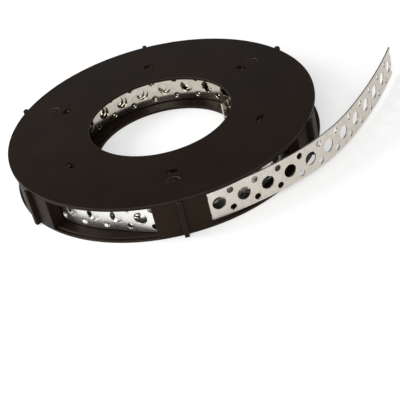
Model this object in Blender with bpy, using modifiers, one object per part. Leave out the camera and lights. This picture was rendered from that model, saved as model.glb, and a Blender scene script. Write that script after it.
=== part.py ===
"""Perforated steel strap, coiled in a flat round dispenser cassette of black plastic.

The cassette lies flat with its axis upright. The coil stands on edge between two annular plates,
its inner end juts into the bore, and its free tail leaves past a guide wall and curves away.
All sizes are in metres. Angles are in degrees, anticlockwise seen from above, with 0 along +X.
"""
import math

import bmesh
import bpy
import numpy as np
from mathutils import Matrix

MM = 0.001

# Strap section and its hole pattern
STRAP_WIDTH = 20.0 * MM
STRAP_THICKNESS = 1.0 * MM
HOLE_PITCH = 16.1 * MM
LARGE_HOLE_DIAMETER = 8.5 * MM
SMALL_HOLE_DIAMETER = 4.2 * MM
SMALL_HOLE_SPREAD = 12.3 * MM

# Coil, which sets how wide the cassette is
COIL_STEP_BACK = 9.3 * MM
COIL_TURNS = 19
TURN_PITCH = 1.8 * MM
COIL_EDGE_SCATTER = 0.2 * MM
GROOVE_DEPTH = 1.2 * MM
TURNS_PER_GROOVE = 2

# Outermost turn: how far round it comes out of the coil, and lifts out to the guide wall
MERGE_SWEEP = 14.0
LIFT_SWEEP = 30.0
LIFT_BEFORE_EXIT = 8.0

# Inner end, which springs inward off the innermost turn
INNER_END_BEND_RADIUS = 27.3 * MM
INNER_END_BEND = 88.8
INNER_END_MEETS_COIL = 39.8

# Free tail: three gentle bends after the exit
TAIL_SPRING_ANGLE = 0.4
FIRST_BEND_RADIUS = 200.0 * MM
FIRST_BEND_LENGTH = 63.5 * MM
SECOND_BEND_RADIUS = 127.8 * MM
SECOND_BEND_LENGTH = 50.0 * MM
THIRD_BEND_RADIUS = 373.0 * MM
THIRD_BEND_LENGTH = 78.3 * MM

# Cassette plates
BORE_RADIUS = 47.5 * MM
BASE_THICKNESS = 2.0 * MM
LID_THICKNESS = 2.2 * MM
KERB_HEIGHT = 0.2 * MM
RIM_STEP_WIDTH = 2.6 * MM
RIM_STEP_DEPTH = 0.8 * MM
BORE_CHAMFER = 0.5 * MM
EDGE_CHAMFER = 0.3 * MM

# Wall sections round the edge
WALL_COUNT = 6
FIRST_WALL_ANGLE = 30.0
WALL_HALF_ANGLE = 9.4
WALL_THICKNESS = 2.5 * MM
PILLAR_DEPTH = 8.2 * MM
WEB_THICKNESS = 2.0 * MM
GUIDE_WALL_ANGLE = -90.0

# Outside ribs
RIB_WIDTH = 2.9 * MM
RIB_HEIGHT = 3.0 * MM
RIB_CHAMFER = 0.4 * MM

# Lid slots
SLOT_INSET = 31.6 * MM
SLOT_LENGTH = 7.0 * MM
SLOT_WIDTH = 3.8 * MM
SLOT_TONGUE_LENGTH = 3.0 * MM
SLOT_TONGUE_DROP = 0.9 * MM

# Round marks that moulding leaves in the lid, at every second slot
GATE_COUNT = 3
GATE_INSET = 21.4 * MM
GATE_DIAMETER = 8.0 * MM
GATE_DEPTH = 0.3 * MM

# Fits
SEAT_GAP = 0.3 * MM
HEAD_ROOM = 0.6 * MM
COIL_CLEARANCE = 1.4 * MM
CUT_OVERLAP = 1.0 * MM

# Facets
PLATE_STEPS = 96
COIL_STEPS = 40
LARGE_HOLE_SIDES = 10
SMALL_HOLE_SIDES = 8
GATE_SIDES = 24
WELD_DISTANCE = 0.000005
SMOOTH_BELOW = math.radians(40.0)
QUARTER = 90.0

# Heights that follow from the sizes above
KERB_TOP = BASE_THICKNESS + KERB_HEIGHT
STRAP_BOTTOM = KERB_TOP + SEAT_GAP
STRAP_TOP = STRAP_BOTTOM + STRAP_WIDTH
STRAP_MIDDLE = (STRAP_BOTTOM + STRAP_TOP) / 2
LID_BOTTOM = STRAP_TOP + HEAD_ROOM
CASSETTE_HEIGHT = LID_BOTTOM + LID_THICKNESS
WALL_TOP = LID_BOTTOM - SEAT_GAP

# Radii that follow from the sizes above
COIL_INNER_RADIUS = BORE_RADIUS + COIL_STEP_BACK
OUTER_TURN_START_RADIUS = COIL_INNER_RADIUS + COIL_TURNS * TURN_PITCH
OUTER_TURN_END_RADIUS = OUTER_TURN_START_RADIUS + TURN_PITCH / 2
CORE_OUTER_RADIUS = OUTER_TURN_START_RADIUS - TURN_PITCH + STRAP_THICKNESS / 2
PILLAR_INNER_RADIUS = OUTER_TURN_END_RADIUS + STRAP_THICKNESS / 2 + COIL_CLEARANCE
PLATE_RADIUS = PILLAR_INNER_RADIUS + PILLAR_DEPTH
WALL_INNER_RADIUS = PLATE_RADIUS - WALL_THICKNESS
GUIDE_PATH_RADIUS = WALL_INNER_RADIUS - SEAT_GAP - STRAP_THICKNESS / 2
SLOT_RING_RADIUS = PLATE_RADIUS - SLOT_INSET
GATE_RING_RADIUS = PLATE_RADIUS - GATE_INSET

# Angles that follow from the sizes above
EXIT_ANGLE = GUIDE_WALL_ANGLE + WALL_HALF_ANGLE
LIFT_END = EXIT_ANGLE - LIFT_BEFORE_EXIT
LIFT_START = LIFT_END - LIFT_SWEEP
MERGE_END = EXIT_ANGLE - 360.0
MERGE_START = MERGE_END - MERGE_SWEEP
SUNK_START = MERGE_START - math.degrees(HOLE_PITCH / CORE_OUTER_RADIUS)


def clear_scene():
    """Start from an empty scene."""
    for old in list(bpy.data.objects):
        bpy.data.objects.remove(old, do_unlink=True)


def new_collection(name):
    """Add a collection to the scene."""
    collection = bpy.data.collections.new(name)
    bpy.context.scene.collection.children.link(collection)
    return collection


def plastic_or_metal(name, colour, roughness, metallic):
    """One Principled material."""
    material = bpy.data.materials.new(name)
    material.use_nodes = True
    shader = material.node_tree.nodes["Principled BSDF"]
    shader.inputs["Base Color"].default_value = (*colour, 1.0)
    shader.inputs["Roughness"].default_value = roughness
    shader.inputs["Metallic"].default_value = metallic
    return material


def add_object(name, mesh, collection):
    """Wrap a mesh in an object."""
    obj = bpy.data.objects.new(name, mesh)
    collection.objects.link(obj)
    return obj


def as_tool(obj):
    """Mark a cutter or a joined-in shape, so that it shows as wire and is not rendered."""
    obj.hide_render = True
    obj.display_type = "WIRE"
    return obj


def polar(radius, angle):
    """A point in plan, from a radius and an angle in degrees."""
    turn = math.radians(angle)
    return (radius * math.cos(turn), radius * math.sin(turn))


def arc(radius, start, end, steps, centre=(0.0, 0.0)):
    """Points along an arc, both ends included."""
    points = []
    for i in range(steps + 1):
        x, y = polar(radius, start + (end - start) * i / steps)
        points.append((centre[0] + x, centre[1] + y))
    return points


def circle(diameter, sides, centre):
    """A closed round outline, with a flat side towards +X."""
    half_side = 180.0 / sides
    return arc(diameter / 2, half_side, 360.0 - half_side, sides - 1, centre)


def sector(inner, outer, start, end):
    """The outline of a ring sector."""
    steps = max(1, round((end - start) * PLATE_STEPS / 360.0))
    return arc(outer, start, end, steps) + arc(inner, end, start, steps)


def extruded(name, outlines, bottom, top, collection):
    """A plate with the given outlines, closed ones inside others being holes."""
    curve = bpy.data.curves.new(name, "CURVE")
    curve.dimensions = "2D"
    curve.fill_mode = "BOTH"
    curve.extrude = (top - bottom) / 2
    for outline in outlines:
        spline = curve.splines.new("POLY")
        spline.points.add(len(outline) - 1)
        for point, (x, y) in zip(spline.points, outline):
            point.co = (x, y, 0.0, 1.0)
        spline.use_cyclic_u = True
    drawn = bpy.data.objects.new(name, curve)
    collection.objects.link(drawn)
    drawn.location.z = (top + bottom) / 2
    bpy.context.view_layer.update()
    evaluated = drawn.evaluated_get(bpy.context.evaluated_depsgraph_get())
    mesh = bpy.data.meshes.new_from_object(evaluated)
    mesh.transform(drawn.matrix_world)
    bpy.data.objects.remove(drawn, do_unlink=True)
    weld(mesh)
    return add_object(name, mesh, collection)


def weld(mesh):
    """Close the seams between a drawn plate's caps and its sides."""
    shape = bmesh.new()
    shape.from_mesh(mesh)
    bmesh.ops.remove_doubles(shape, verts=shape.verts, dist=WELD_DISTANCE)
    bmesh.ops.recalc_face_normals(shape, faces=shape.faces)
    shape.to_mesh(mesh)
    shape.free()


def turned(name, profile, steps, collection):
    """A turned ring: a closed profile of (radius, height) points swept round the axis."""
    shape = bmesh.new()
    verts = [shape.verts.new((r, 0.0, z)) for r, z in profile]
    for a, b in zip(verts, verts[1:] + verts[:1]):
        shape.edges.new((a, b))
    mesh = bpy.data.meshes.new(name)
    shape.to_mesh(mesh)
    shape.free()
    obj = add_object(name, mesh, collection)
    screw = obj.modifiers.new("turn", "SCREW")
    screw.steps = steps
    screw.render_steps = steps
    screw.use_merge_vertices = True
    screw.merge_threshold = WELD_DISTANCE
    screw.use_smooth_shade = False
    return obj


def boolean(obj, tool, operation):
    """Cut with, keep within or join with a tool."""
    modifier = obj.modifiers.new(operation.lower(), "BOOLEAN")
    modifier.object = tool
    modifier.operation = operation
    modifier.solver = "EXACT"


def smooth_by_angle():
    """A node group that shades faces smooth and keeps the steeper edges sharp."""
    group = bpy.data.node_groups.new("smooth_by_angle", "GeometryNodeTree")
    group.interface.new_socket("Mesh", in_out="INPUT", socket_type="NodeSocketGeometry")
    group.interface.new_socket("Mesh", in_out="OUTPUT", socket_type="NodeSocketGeometry")
    entry = group.nodes.new("NodeGroupInput")
    smooth = group.nodes.new("GeometryNodeSetShadeSmooth")
    sharp = group.nodes.new("GeometryNodeSetShadeSmooth")
    sharp.domain = "EDGE"
    sharp.inputs["Shade Smooth"].default_value = False
    bend = group.nodes.new("GeometryNodeInputMeshEdgeAngle")
    steep = group.nodes.new("ShaderNodeMath")
    steep.operation = "GREATER_THAN"
    steep.inputs[1].default_value = SMOOTH_BELOW
    leave = group.nodes.new("NodeGroupOutput")
    group.links.new(entry.outputs[0], smooth.inputs["Geometry"])
    group.links.new(smooth.outputs[0], sharp.inputs["Geometry"])
    group.links.new(bend.outputs["Unsigned Angle"], steep.inputs[0])
    group.links.new(steep.outputs[0], sharp.inputs["Selection"])
    group.links.new(sharp.outputs[0], leave.inputs[0])
    return group


def wall_angles():
    """The middle of each wall section."""
    return [FIRST_WALL_ANGLE + i * 360.0 / WALL_COUNT for i in range(WALL_COUNT)]


def is_guide(angle):
    """Whether a wall section is the plain one that the tail slides along."""
    return abs((angle - GUIDE_WALL_ANGLE + 180.0) % 360.0 - 180.0) < 1.0


# Strap path in plan

class Path:
    """A line in plan, read by the length walked along it."""

    def __init__(self, points):
        self.x, self.y = np.array(points).T
        runs = np.hypot(np.diff(self.x), np.diff(self.y))
        self.walked = np.concatenate([[0.0], np.cumsum(runs)])
        self.length = float(self.walked[-1])
        heading = np.unwrap(np.arctan2(np.diff(self.y), np.diff(self.x)))
        middles = (self.walked[1:] + self.walked[:-1]) / 2
        self.heading = np.interp(self.walked, middles, heading)

    def place(self, along, side):
        """The point at a length along the path, moved sideways to its right."""
        turn = np.interp(along, self.walked, self.heading)
        x = np.interp(along, self.walked, self.x) + side * np.sin(turn)
        y = np.interp(along, self.walked, self.y) - side * np.cos(turn)
        return x, y


def ease(value):
    """A smooth step from 0 to 1."""
    value = min(1.0, max(0.0, value))
    return value * value * (3.0 - 2.0 * value)


def outer_turn_radius(angle):
    """The outermost turn: sunk in the coil, out of it, once round it, then out to the guide wall."""
    sunk = CORE_OUTER_RADIUS - 2 * STRAP_THICKNESS
    start = OUTER_TURN_START_RADIUS
    if angle < MERGE_END:
        return sunk + (start - sunk) * ease((angle - MERGE_START) / (MERGE_END - MERGE_START))
    spiral = start + (OUTER_TURN_END_RADIUS - start) * (angle - MERGE_END) / 360.0
    return spiral + (GUIDE_PATH_RADIUS - spiral) * ease((angle - LIFT_START) / (LIFT_END - LIFT_START))


def walk_arc(points, heading, radius, length, steps):
    """Carry a line on along an arc that bends to the left, and give the new heading."""
    x, y = points[-1]
    for _ in range(steps):
        middle = heading + length / steps / radius / 2
        x += length / steps * math.cos(middle)
        y += length / steps * math.sin(middle)
        heading += length / steps / radius
        points.append((x, y))
    return heading


def outer_path():
    """Centre line of the outermost turn and the free tail."""
    steps = round((EXIT_ANGLE - SUNK_START) * 2)
    angles = [SUNK_START + (EXIT_ANGLE - SUNK_START) * i / steps for i in range(steps + 1)]
    points = [polar(outer_turn_radius(angle), angle) for angle in angles]
    heading = math.radians(EXIT_ANGLE + QUARTER - TAIL_SPRING_ANGLE)
    heading = walk_arc(points, heading, FIRST_BEND_RADIUS, FIRST_BEND_LENGTH, 60)
    heading = walk_arc(points, heading, SECOND_BEND_RADIUS, SECOND_BEND_LENGTH, 60)
    walk_arc(points, heading, THIRD_BEND_RADIUS, THIRD_BEND_LENGTH, 60)
    return Path(points)


def inner_first_end():
    """Where the inner end's first cell ends, its cut being in the bridge beside a large hole."""
    bridge_middle = (LARGE_HOLE_DIAMETER / 2 + HOLE_PITCH / 2 - SMALL_HOLE_DIAMETER / 2) / 2
    return bridge_middle + HOLE_PITCH / 2


def inner_path():
    """Centre line of the inner end, from its cut to inside the innermost turns."""
    first_turn = COIL_INNER_RADIUS + STRAP_THICKNESS / 2
    centre = polar(first_turn - INNER_END_BEND_RADIUS, INNER_END_MEETS_COIL)
    bend_start = INNER_END_MEETS_COIL - INNER_END_BEND
    points = arc(INNER_END_BEND_RADIUS, bend_start, INNER_END_MEETS_COIL, 80, centre)
    bend_length = math.radians(INNER_END_BEND) * INNER_END_BEND_RADIUS
    spare = (bend_length - inner_first_end()) % HOLE_PITCH
    lead = math.degrees((HOLE_PITCH - spare) / first_turn)
    angle = INNER_END_MEETS_COIL
    points += [polar(first_turn + TURN_PITCH * ease(i / 40), angle + lead * i / 40) for i in range(1, 41)]
    return Path(points)


# Strap

def cut_end(x, side):
    """One end of a strap cell, through the middle of a pair of small holes."""
    radius = SMALL_HOLE_DIAMETER / 2
    last = QUARTER - side * 180.0
    spread = SMALL_HOLE_SPREAD / 2
    upper = arc(radius, QUARTER, last, SMALL_HOLE_SIDES // 2, (x, spread))
    lower = arc(radius, QUARTER, last, SMALL_HOLE_SIDES // 2, (x, -spread))
    return upper + lower


def cell_outlines(middle, plain_start):
    """One pitch of strap: a large hole, with half of a small pair at each end."""
    half_width = STRAP_WIDTH / 2
    half_pitch = HOLE_PITCH / 2
    bridge_middle = (LARGE_HOLE_DIAMETER / 2 + half_pitch - SMALL_HOLE_DIAMETER / 2) / 2
    start = middle - (bridge_middle if plain_start else half_pitch)
    end = middle + half_pitch
    outline = [(end, half_width), (middle, half_width), (start, half_width)]
    if not plain_start:
        outline += cut_end(start, 1)
    outline += [(start, -half_width), (middle, -half_width), (end, -half_width)]
    outline += reversed(cut_end(end, -1))
    return [outline, circle(LARGE_HOLE_DIAMETER, LARGE_HOLE_SIDES, (middle, 0.0))]


def fill_cell(shape, outlines):
    """Fill the flat face between a cell's outline and its hole."""
    edges = []
    for outline in outlines:
        verts = [shape.verts.new((x, y, 0.0)) for x, y in outline]
        edges += [shape.edges.new(pair) for pair in zip(verts, verts[1:] + verts[:1])]
    bmesh.ops.triangle_fill(shape, use_beauty=True, edges=edges)


def bent_strap(name, path, first_end, plain_start, collection):
    """A length of strap, punched flat and then bent along its path.

    first_end is where the first cell ends along the path, and the last cell ends with the path.
    """
    count = round((path.length - first_end) / HOLE_PITCH) + 1
    shape = bmesh.new()
    for i in range(count):
        middle = first_end + (i - 0.5) * HOLE_PITCH
        fill_cell(shape, cell_outlines(middle, plain_start and i == 0))
    bmesh.ops.remove_doubles(shape, verts=shape.verts, dist=WELD_DISTANCE)
    for vert in shape.verts:
        along, across, _ = vert.co
        x, y = path.place(along, 0.0)
        vert.co = (x, y, STRAP_MIDDLE + across)
    bmesh.ops.recalc_face_normals(shape, faces=shape.faces)
    mesh = bpy.data.meshes.new(name)
    shape.to_mesh(mesh)
    shape.free()
    obj = as_tool(add_object(name, mesh, collection))
    solidify = obj.modifiers.new("thickness", "SOLIDIFY")
    solidify.thickness = STRAP_THICKNESS
    solidify.offset = 0.0
    solidify.use_even_offset = True
    return obj


def coil_profile():
    """Section of the coiled turns: V grooves on both ends show where turns meet."""
    pitch = TURN_PITCH * TURNS_PER_GROOVE
    inner = COIL_INNER_RADIUS
    count = round((CORE_OUTER_RADIUS - inner) / pitch)
    pitch = (CORE_OUTER_RADIUS - inner) / count
    top = STRAP_TOP - COIL_EDGE_SCATTER
    bottom = STRAP_BOTTOM + COIL_EDGE_SCATTER
    upper = []
    for i in range(count):
        upper.append((inner + i * pitch, top))
        upper.append((inner + (i + 0.75) * pitch, top))
        if i < count - 1:
            upper.append((inner + (i + 0.875) * pitch, top - GROOVE_DEPTH))
    upper[-1] = (CORE_OUTER_RADIUS, top)
    lower = [(r, top + bottom - z) for r, z in reversed(upper)]
    return upper + lower


def make_strap(parts, tools, material):
    """One strap: the coiled turns joined to the outermost turn with its tail, and to the inner end."""
    strap = turned("strap", coil_profile(), COIL_STEPS, parts)
    outer = outer_path()
    cells = int(outer.length / HOLE_PITCH)
    first_end = outer.length - (cells - 1) * HOLE_PITCH
    tail = bent_strap("outer_turn_and_tail", outer, first_end, False, tools)
    inner = inner_path()
    inner_end = bent_strap("inner_end", inner, inner_first_end(), True, tools)
    boolean(strap, tail, "UNION")
    boolean(strap, inner_end, "UNION")
    strap.data.materials.append(material)
    return strap


# Cassette

def window_cutter(tools):
    """The windows between wall sections, with the low step along the rim."""
    over = CASSETTE_HEIGHT + RIB_HEIGHT
    beyond = PLATE_RADIUS + RIB_HEIGHT * 2
    inside = PILLAR_INNER_RADIUS - CUT_OVERLAP
    step_radius = PLATE_RADIUS - RIM_STEP_WIDTH
    step_height = KERB_TOP - RIM_STEP_DEPTH
    profile = [
        (beyond, over),
        (beyond, step_height),
        (step_radius, step_height),
        (step_radius, KERB_TOP),
        (inside, KERB_TOP),
        (inside, over),
    ]
    ring = as_tool(turned("window_cutter", profile, PLATE_STEPS, tools))
    gaps = []
    for angle in wall_angles():
        start = angle + WALL_HALF_ANGLE
        end = angle + 360.0 / WALL_COUNT - WALL_HALF_ANGLE
        gaps.append(sector(inside - CUT_OVERLAP, beyond + CUT_OVERLAP, start, end))
    wedges = as_tool(extruded("window_wedges", gaps, -over, 2 * over, tools))
    boolean(ring, wedges, "INTERSECT")
    return ring


def pocket_cutter(tools):
    """The hollows behind the pillars' outer walls, and the strap's way behind the guide wall."""
    inside = PILLAR_INNER_RADIUS - CUT_OVERLAP
    web = math.degrees(WEB_THICKNESS / PLATE_RADIUS)
    pockets = []
    for angle in wall_angles():
        if is_guide(angle):
            reach = WALL_HALF_ANGLE * 2
            pockets.append(sector(inside, WALL_INNER_RADIUS, angle - reach, angle + reach))
            continue
        far = WALL_HALF_ANGLE - web
        for start, end in ((-far, -web / 2), (web / 2, far)):
            pockets.append(sector(inside, WALL_INNER_RADIUS, angle + start, angle + end))
    return as_tool(extruded("pocket_cutter", pockets, KERB_TOP, CASSETTE_HEIGHT, tools))


def make_rib(angle, tools):
    """One outside rib, as high as the whole cassette, with its top standing beside the lid's edge."""
    root = PLATE_RADIUS - WALL_THICKNESS / 2
    outer = PLATE_RADIUS + RIB_HEIGHT
    beside_lid = PLATE_RADIUS + SEAT_GAP
    ledge = WALL_TOP - SEAT_GAP
    outline = [
        (root, RIB_CHAMFER * 2),
        (PLATE_RADIUS + RIB_CHAMFER, 0.0),
        (outer - RIB_CHAMFER, 0.0),
        (outer, RIB_CHAMFER),
        (outer, CASSETTE_HEIGHT - RIB_CHAMFER),
        (outer - RIB_CHAMFER, CASSETTE_HEIGHT),
        (beside_lid, CASSETTE_HEIGHT),
        (beside_lid, ledge),
        (root, ledge),
    ]
    rib = extruded("rib", [outline], -RIB_WIDTH / 2, RIB_WIDTH / 2, tools)
    stand = Matrix.Rotation(math.radians(angle), 4, "Z") @ Matrix.Rotation(math.radians(QUARTER), 4, "X")
    rib.data.transform(stand)
    return rib


def make_base(parts, tools, material):
    """Lower plate with its pillars, guide wall and ribs, as one moulding."""
    profile = [
        (PLATE_RADIUS, WALL_TOP),
        (PLATE_RADIUS, 0.0),
        (BORE_RADIUS, 0.0),
        (BORE_RADIUS, BASE_THICKNESS),
        (PILLAR_INNER_RADIUS, BASE_THICKNESS),
        (PILLAR_INNER_RADIUS, WALL_TOP),
    ]
    base = turned("cassette_base", profile, PLATE_STEPS, parts)
    boolean(base, window_cutter(tools), "DIFFERENCE")
    boolean(base, pocket_cutter(tools), "DIFFERENCE")
    for angle in wall_angles():
        boolean(base, as_tool(make_rib(angle, tools)), "UNION")
    base.data.materials.append(material)
    return base


def slot_outlines(length, offset):
    """Six small rectangles round the lid, each across its radius."""
    outlines = []
    for angle in wall_angles():
        x, y = polar(SLOT_RING_RADIUS, angle)
        along = polar(1.0, angle + QUARTER)
        out = polar(1.0, angle)
        corners = []
        for a, b in ((-1, -1), (1, -1), (1, 1), (-1, 1)):
            u = offset + a * length / 2
            v = b * SLOT_WIDTH / 2
            corners.append((x + along[0] * u + out[0] * v, y + along[1] * u + out[1] * v))
        outlines.append(corners)
    return outlines


def gate_outlines():
    """The round marks in the lid."""
    angles = [FIRST_WALL_ANGLE + i * 360.0 / GATE_COUNT for i in range(GATE_COUNT)]
    return [circle(GATE_DIAMETER, GATE_SIDES, polar(GATE_RING_RADIUS, angle)) for angle in angles]


def make_lid(parts, tools, material):
    """Upper plate, with a softened edge, a chamfered bore, six small slots and three gate marks."""
    profile = [
        (BORE_RADIUS + BORE_CHAMFER, CASSETTE_HEIGHT),
        (PLATE_RADIUS - EDGE_CHAMFER, CASSETTE_HEIGHT),
        (PLATE_RADIUS, CASSETTE_HEIGHT - EDGE_CHAMFER),
        (PLATE_RADIUS, LID_BOTTOM),
        (BORE_RADIUS, LID_BOTTOM),
        (BORE_RADIUS, CASSETTE_HEIGHT - BORE_CHAMFER),
    ]
    lid = turned("cassette_lid", profile, PLATE_STEPS, parts)
    over = LID_THICKNESS
    hole_length = SLOT_LENGTH - SLOT_TONGUE_LENGTH
    pockets = extruded("slot_pocket_cutter", slot_outlines(SLOT_LENGTH, 0.0),
                       CASSETTE_HEIGHT - SLOT_TONGUE_DROP, CASSETTE_HEIGHT + over, tools)
    holes = extruded("slot_hole_cutter", slot_outlines(hole_length, SLOT_TONGUE_LENGTH / 2),
                     LID_BOTTOM - over, CASSETTE_HEIGHT + over, tools)
    gates = extruded("gate_cutter", gate_outlines(),
                     CASSETTE_HEIGHT - GATE_DEPTH, CASSETTE_HEIGHT + over, tools)
    boolean(lid, as_tool(gates), "DIFFERENCE")
    boolean(lid, as_tool(pockets), "DIFFERENCE")
    boolean(lid, as_tool(holes), "DIFFERENCE")
    lid.data.materials.append(material)
    return lid


def reach_of_tail():
    """How far along +X the tail reaches."""
    path = outer_path()
    x, _ = path.place(path.walked, STRAP_THICKNESS / 2)
    return float(x.max())


def main():
    """Build the three pieces and set them with their overall middle on the Z axis."""
    clear_scene()
    parts = new_collection("perforated_strap_cassette")
    tools = new_collection("tools")
    black = plastic_or_metal("black_plastic", (0.016, 0.013, 0.010), 0.38, 0.0)
    steel = plastic_or_metal("galvanised_steel", (0.60, 0.57, 0.53), 0.42, 1.0)
    make_base(parts, tools, black)
    make_lid(parts, tools, black)
    make_strap(parts, tools, steel)
    shading = smooth_by_angle()
    for piece in parts.objects:
        piece.modifiers.new("shading", "NODES").node_group = shading
    axis = bpy.data.objects.new("cassette_axis", None)
    axis.location.x = (PLATE_RADIUS - reach_of_tail()) / 2
    for piece in list(parts.objects) + list(tools.objects):
        piece.parent = axis
    parts.objects.link(axis)


main()
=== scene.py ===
# %% [markdown]
# # Perforated steel strap in its dispenser cassette
#
# About ten metres of punched steel strap are wound on edge between two black plastic plates.
# The strap leaves past a plain guide wall and springs away in a gentle curve. This script
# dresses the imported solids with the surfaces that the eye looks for: the holes through every
# turn, the soft edges of the mouldings, the grain of the zinc and the dull sheen of the plastic.
# The first cell loads the fixed frame, in which everything has its true place in metres.
# %% Load the frame
import math

import bmesh
import bpy
import numpy as np
from mathutils import Matrix, Vector
from mathutils.geometry import delaunay_2d_cdt


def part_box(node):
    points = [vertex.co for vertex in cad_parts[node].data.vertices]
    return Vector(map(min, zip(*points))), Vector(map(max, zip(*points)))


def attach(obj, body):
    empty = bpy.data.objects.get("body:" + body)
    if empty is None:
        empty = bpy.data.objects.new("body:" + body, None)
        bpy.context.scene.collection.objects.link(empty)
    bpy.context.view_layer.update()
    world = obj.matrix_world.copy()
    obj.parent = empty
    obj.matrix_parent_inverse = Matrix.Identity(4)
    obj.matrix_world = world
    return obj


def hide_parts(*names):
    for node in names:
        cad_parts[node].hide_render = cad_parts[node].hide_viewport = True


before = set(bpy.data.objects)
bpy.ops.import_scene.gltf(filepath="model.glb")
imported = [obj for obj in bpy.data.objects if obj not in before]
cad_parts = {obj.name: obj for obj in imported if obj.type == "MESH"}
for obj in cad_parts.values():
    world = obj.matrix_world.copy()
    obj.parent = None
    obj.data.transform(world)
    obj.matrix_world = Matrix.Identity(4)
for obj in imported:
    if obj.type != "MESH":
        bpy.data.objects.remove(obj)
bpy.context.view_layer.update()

# %% [markdown]
# ## Sizes
#
# Most sizes are read back from the solids, so the dressed pieces can't drift away from them.
# The lid's box gives the axis, the radius and the heights. What a box can't tell, such as
# the hole pattern and the bends of the strap, is written down here once.
# %% Read the sizes
MM = 0.001
lid_low, lid_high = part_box("cassette_lid")
AXIS_X = (lid_low.x + lid_high.x) / 2
PLATE_RADIUS = (lid_high.x - lid_low.x) / 2
CASSETTE_HEIGHT = lid_high.z
LID_BOTTOM = lid_low.z
RIB_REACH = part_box("cassette_base")[1].y
BORE_RADIUS = 47.5 * MM
print("axis x", round(AXIS_X, 5), "plate radius", round(PLATE_RADIUS, 5), "height", CASSETTE_HEIGHT)

# %% Strap section, hole pattern and levels
STRAP_WIDTH = 20.0 * MM
STRAP_THICKNESS = 1.0 * MM
HOLE_PITCH = 16.1 * MM
LARGE_HOLE = 8.5 * MM
SMALL_HOLE = 4.2 * MM
SMALL_HOLE_SPREAD = 12.3 * MM
SEAT_GAP = 0.3 * MM
BASE_THICKNESS = 2.0 * MM
KERB_TOP = BASE_THICKNESS + 0.2 * MM
STRAP_MIDDLE = KERB_TOP + SEAT_GAP + STRAP_WIDTH / 2
WALL_TOP = LID_BOTTOM - SEAT_GAP
print("strap middle", round(STRAP_MIDDLE, 5), "wall top", round(WALL_TOP, 5))

# %% [markdown]
# ## Camera
#
# The photograph was taken from a little above the bench with the camera slightly rolled. Its
# place was worked out from the ellipses of the plates and the spacing of the ribs, and is
# given here in plate radii, so the view holds if the cassette changes size. The picture is
# 400 pixels square and the focal length is about 1062 of those pixels.
# %% Place the camera
ELEVATION = 0.6007
ROLL = -0.2465
FOCAL_PIXELS = 1062.47
PICTURE_PIXELS = 400
EYE_RIGHT, EYE_UP, EYE_BACK = 0.2113, -0.3488, 6.9383
back = Vector((0.0, -math.cos(ELEVATION), math.sin(ELEVATION)))
level = Vector((1.0, 0.0, 0.0))
upright = back.cross(level)
right = math.cos(ROLL) * level + math.sin(ROLL) * upright
up = -math.sin(ROLL) * level + math.cos(ROLL) * upright
eye = Vector((AXIS_X, 0.0, 0.0))
eye += PLATE_RADIUS * (EYE_RIGHT * right + EYE_UP * up + EYE_BACK * back)

lens = bpy.data.cameras.new("photo_camera")
lens.sensor_width = 36.0
lens.lens = FOCAL_PIXELS * lens.sensor_width / PICTURE_PIXELS
lens.clip_start = 0.05
camera = bpy.data.objects.new("photo_camera", lens)
bpy.context.scene.collection.objects.link(camera)
camera.matrix_world = Matrix.Translation(eye) @ Matrix((right, up, back)).transposed().to_4x4()
bpy.context.scene.camera = camera
print("camera at", [round(v, 4) for v in eye], "lens", round(lens.lens, 2))

# %% [markdown]
# ## Small helpers
#
# A few helpers carry the whole model. They put a mesh in the scene, apply an object's
# modifiers, shade it with crisp edges, mark its rounded edges for the plastic's painted edge
# highlight and smoother finish, and round the corners of a flat outline. Weighted normals keep
# wide flat faces flat right up to their rounded edges.
# %% Mesh helpers
def add_piece(name, mesh):
    """Put a mesh in the scene."""
    piece = bpy.data.objects.new(name, mesh)
    bpy.context.scene.collection.objects.link(piece)
    return piece


def applied(piece):
    """Replace an object by its evaluated mesh, with no modifiers left."""
    bpy.context.view_layer.update()
    evaluated = piece.evaluated_get(bpy.context.evaluated_depsgraph_get())
    mesh = bpy.data.meshes.new_from_object(evaluated)
    mesh.transform(piece.matrix_world)
    name = piece.name
    bpy.data.objects.remove(piece, do_unlink=True)
    return add_piece(name, mesh)


def crisp(piece, angle=30.0):
    """Smooth shading with sharp edges, weighted by face area."""
    piece.data.shade_smooth()
    piece.data.set_sharp_from_angle(angle=math.radians(angle))
    weigh = piece.modifiers.new("weigh", "WEIGHTED_NORMAL")
    weigh.keep_sharp = True
    weigh.weight = 100
    return piece


# %% Mark the rounded edges
LEAST_LEAN = 0.04
FULL_LEAN = 0.20


def mark_edges(piece):
    """Store how far each face leans away from the cassette's own directions.

    It is 0 on flat, upright and cylindrical faces and 1 in the middle of a rounded edge.
    """
    mesh = piece.data
    middle = np.empty(len(mesh.polygons) * 3)
    normal = np.empty(len(mesh.polygons) * 3)
    mesh.polygons.foreach_get("center", middle)
    mesh.polygons.foreach_get("normal", normal)
    middle, normal = middle.reshape(-1, 3), normal.reshape(-1, 3)
    out = middle[:, :2] - [AXIS_X, 0.0]
    out /= np.hypot(*out.T)[:, None]
    along_out = np.abs((normal[:, :2] * out).sum(1))
    along_ring = np.abs(normal[:, 1] * out[:, 0] - normal[:, 0] * out[:, 1])
    lean = 1.0 - np.maximum(np.maximum(along_out, along_ring), np.abs(normal[:, 2]))
    edge = np.clip((lean - LEAST_LEAN) / (FULL_LEAN - LEAST_LEAN), 0.0, 1.0).astype(np.float32)
    # The plastic uses this mask to paint a highlight on the rounded edges, and to make them smoother.
    mesh.attributes.new("edge", "FLOAT", "FACE").data.foreach_set("value", edge)
    print(piece.name, "edge faces", int((edge > 0.5).sum()), "of", len(edge))


# %% Outlines in plan
def polar(radius, angle):
    """A point in plan, from a radius and an angle in degrees."""
    turn = math.radians(angle)
    return (radius * math.cos(turn), radius * math.sin(turn))


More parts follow.
